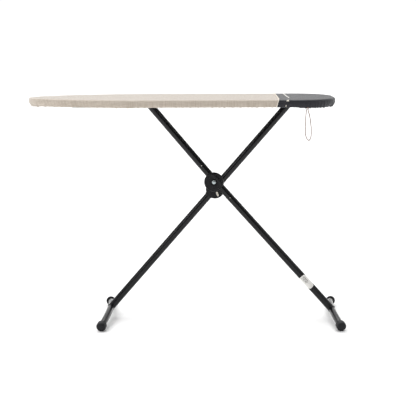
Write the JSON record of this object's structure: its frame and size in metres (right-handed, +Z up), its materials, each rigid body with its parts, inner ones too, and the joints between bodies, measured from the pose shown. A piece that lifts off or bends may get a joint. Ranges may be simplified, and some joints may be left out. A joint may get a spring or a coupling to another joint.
{
  "type": "ironing board",
  "caption": "Folding ironing board with a linen cover and dark heat-resistant end, on crossed black tube legs that scissor about a round hub.",
  "frame": {"origin": "on the floor under the middle of the object's box, without the hanging drawcord loop", "axes": "+X along the board from the nose to the square tail, +Y away from the side shown in the picture, +Z up"},
  "size_m": [1.2836, 0.4054, 0.9295],
  "materials": {
    "linen_cover": "matt woven",
    "heat_zone_fabric": "matt coated weave",
    "foam_pad": "matt foam",
    "galvanised_mesh": "galvanised",
    "black_gloss_paint": "gloss",
    "black_plastic": "fine grain",
    "foot_rubber": "grained",
    "zinc_plate": "zinc plated",
    "ivory_nylon": "satin",
    "drawcord": "braided",
    "label_film": "satin film"
  },
  "bodies": {
    "board": {"cover_main": "linen_cover", "cover_heat_zone": "heat_zone_fabric", "foam_pad": "foam_pad", "top_panel": "galvanised_mesh", "rim_tube": "black_gloss_paint", "rim_joint_plug": "zinc_plate", "hem_drawcord": "drawcord", "cord_lock": "drawcord", "drawcord_loop": "drawcord", "cross_brace_front": "black_gloss_paint", "cross_brace_middle": "black_gloss_paint", "cross_brace_rear": "black_gloss_paint", "rack_web": "black_gloss_paint", "rack_plate_near": "black_gloss_paint", "rack_plate_far": "black_gloss_paint", "hinge_bracket_near": "zinc_plate", "hinge_bracket_far": "zinc_plate", "hinge_pin": "zinc_plate", "hinge_pin_cap_near": "zinc_plate", "hinge_pin_cap_far": "zinc_plate", "lever_base": "zinc_plate", "lever_pin": "zinc_plate", "lever_spring": "zinc_plate"},
    "release_lever": {"release_lever": "black_gloss_paint", "lever_grip": "black_plastic"},
    "lock_bar": {"lock_bar": "zinc_plate", "pull_rod": "zinc_plate"},
    "leg_a": {"leg_a_tube": "black_gloss_paint", "leg_a_crossbar": "zinc_plate", "crossbar_cap_near": "black_plastic", "crossbar_cap_far": "black_plastic", "leg_a_end_plug": "black_plastic", "leg_a_foot_bar": "black_gloss_paint", "leg_a_foot_cap_near": "foot_rubber", "leg_a_foot_cap_far": "foot_rubber", "leg_a_label": "label_film", "leg_a_rivet_upper": "zinc_plate", "leg_a_rivet_lower": "zinc_plate", "hub_front_cover": "black_plastic", "hub_washer": "zinc_plate", "hub_bolt": "zinc_plate", "hub_nut": "zinc_plate"},
    "leg_b": {"leg_b_tube": "black_gloss_paint", "leg_b_hinge_sleeve": "black_gloss_paint", "hinge_bush_near": "ivory_nylon", "hinge_bush_far": "ivory_nylon", "leg_b_foot_bar": "black_gloss_paint", "leg_b_foot_cap_near": "foot_rubber", "leg_b_foot_cap_far": "foot_rubber", "hub_rear_housing": "black_plastic", "hub_bush": "ivory_nylon", "hub_glide_strip": "ivory_nylon"}
  },
  "joints": [
    {"name": "fold", "type": "hinge", "parent": "board", "child": "leg_b", "pos_m": [0.388, 0.018, 0.893], "axis": [0, 1, 0], "range_deg": [-3, 44.5]},
    {"name": "leg_a_swing", "type": "hinge", "parent": "leg_b", "child": "leg_a", "pos_m": [0.1095, 0, 0.5845], "axis": [0, 1, 0], "range_deg": [-91.1, 6.2]},
    {"name": "lever_turn", "type": "hinge", "parent": "board", "child": "release_lever", "pos_m": [0.46, -0.02, 0.9065], "axis": [0, 0, 1], "range_deg": [0, 12], "stiffness_Nm_per_rad": 0.5, "springref_deg": -8.59},
    {"name": "lock_bar_slide", "type": "slide", "parent": "board", "child": "lock_bar", "axis": [1, 0, 0], "range_m": [0, 0.0081]}
  ],
  "couplings": [
    {"joint": "leg_a_swing", "follows": "fold", "ratio": -2.047},
    {"joint": "lock_bar_slide", "follows": "lever_turn", "m_per_rad": 0.038}
  ]
}
